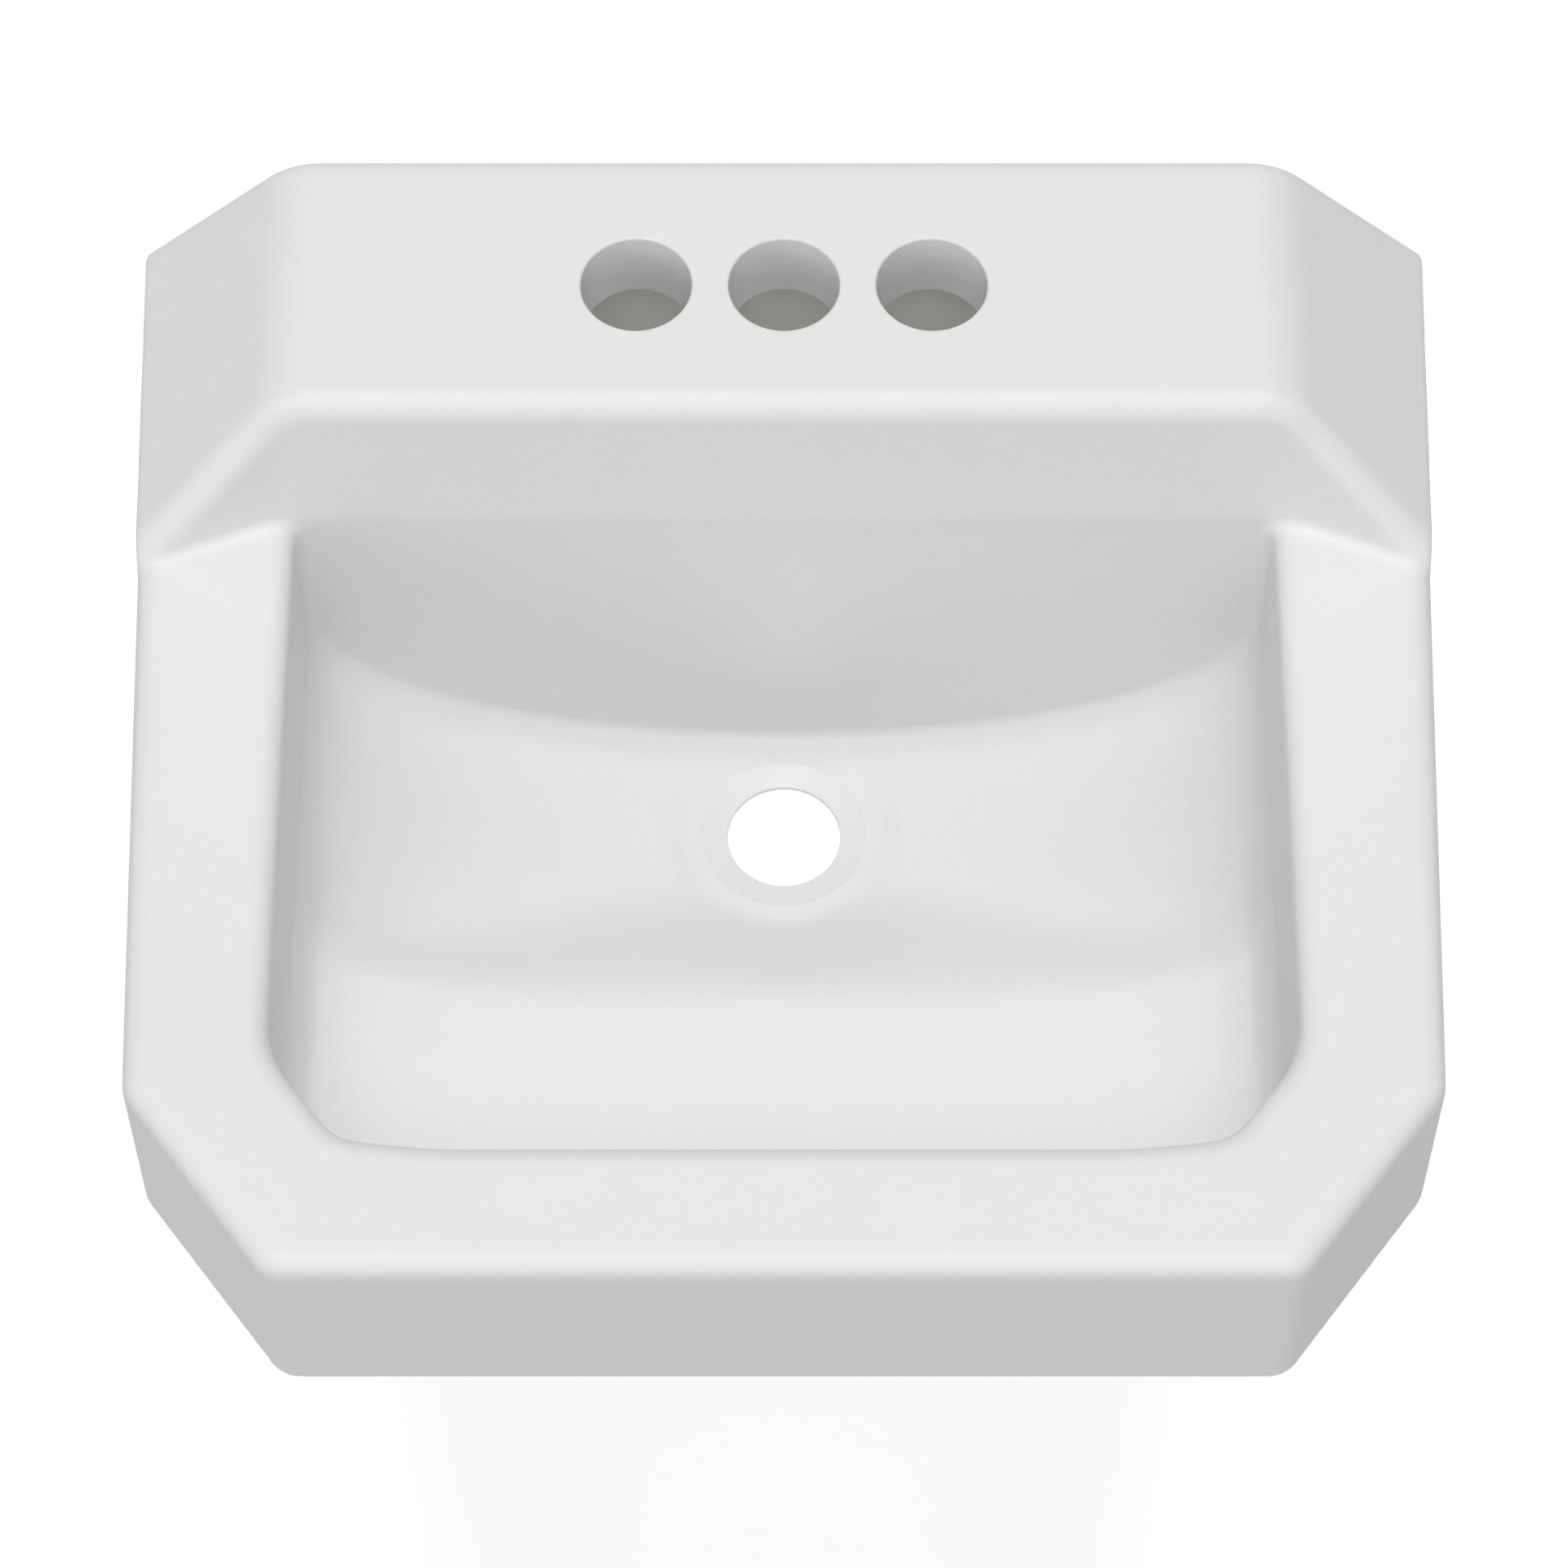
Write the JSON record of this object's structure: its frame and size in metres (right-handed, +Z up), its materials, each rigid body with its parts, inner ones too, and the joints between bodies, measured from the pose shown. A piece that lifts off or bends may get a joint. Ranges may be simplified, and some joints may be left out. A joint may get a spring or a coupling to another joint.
{
  "type": "wall-mounted sink",
  "caption": "Wall-hung glazed china basin with raised tap deck, cut-off front corners and open waste hole, carried by a steel wall hanger and anchor screws.",
  "frame": {"origin": "on the wall plane, midway along the back of the basin, level with the top of its rim", "axes": "+X to the right seen from the front, +Y into the wall, +Z up"},
  "size_m": [0.456, 0.4413, 0.218],
  "materials": {
    "glazed_china": "gloss",
    "zinc_plated_steel": "satin",
    "screw_steel": "satin",
    "nylon": "matte"
  },
  "bodies": {
    "wall_fixings": {"wall_hanger": "zinc_plated_steel", "hanger_screws": "screw_steel", "hanger_washers": "screw_steel", "anchor_screws": "screw_steel", "anchor_washers": "screw_steel", "anchor_bushes": "nylon"},
    "basin": {"basin": "glazed_china"}
  },
  "joints": [
    {"name": "basin_lift", "type": "slide", "parent": "wall_fixings", "child": "basin", "axis": [0, 0, 1], "range_m": [0, 0.014]}
  ]
}
